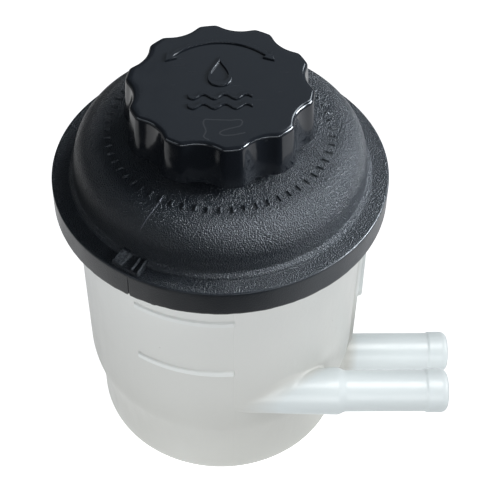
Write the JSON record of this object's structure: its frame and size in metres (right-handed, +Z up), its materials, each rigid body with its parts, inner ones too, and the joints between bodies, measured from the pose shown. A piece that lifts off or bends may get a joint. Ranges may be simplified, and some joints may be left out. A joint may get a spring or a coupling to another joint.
{
  "type": "power steering reservoir",
  "caption": "Round translucent fluid tank with two parallel hose spigots, a black domed cover, a lobed screw cap and a pleated filter inside.",
  "frame": {"origin": "centre of the tank's flat bottom face, on the tank's axis", "axes": "+Z up along the tank's axis, +X along both spigots towards their open ends, -Y the side with the level ribs"},
  "size_m": [0.1343, 0.1054, 0.1423],
  "materials": {
    "tank_plastic": "translucent satin",
    "cover_plastic": "fine grain",
    "cap_plastic": "polished",
    "seal_rubber": "matt",
    "filter_plastic": "satin",
    "filter_sheet": "pleated",
    "valve_steel": "plain"
  },
  "bodies": {
    "reservoir": {"tank": "tank_plastic", "cover": "cover_plastic", "filter_seal": "seal_rubber", "filter_base": "filter_plastic", "filter_core": "filter_plastic", "filter_media": "filter_sheet", "filter_top": "filter_plastic", "bypass_spring": "valve_steel"},
    "seal_ring": {"cap_seal": "seal_rubber"},
    "screw_cap": {"cap": "cap_plastic"},
    "relief_disc": {"bypass_disc": "valve_steel"}
  },
  "joints": [
    {"name": "cap_rise", "type": "slide", "parent": "reservoir", "child": "seal_ring", "axis": [0, 0, 1], "range_m": [0, 0.01101]},
    {"name": "cap_turn", "type": "hinge", "parent": "seal_ring", "child": "screw_cap", "pos_m": [0, 0, 0.136], "axis": [0, 0, 1], "range_deg": [0, 990]},
    {"name": "relief_open", "type": "slide", "parent": "reservoir", "child": "relief_disc", "axis": [0, 0, -1], "range_m": [0, 0.003], "stiffness_N_per_m": 150, "springref_m": -0.004, "deforming": ["bypass_spring"]}
  ],
  "couplings": [
    {"joint": "cap_rise", "follows": "cap_turn", "m_per_rad": 0.00063662}
  ]
}
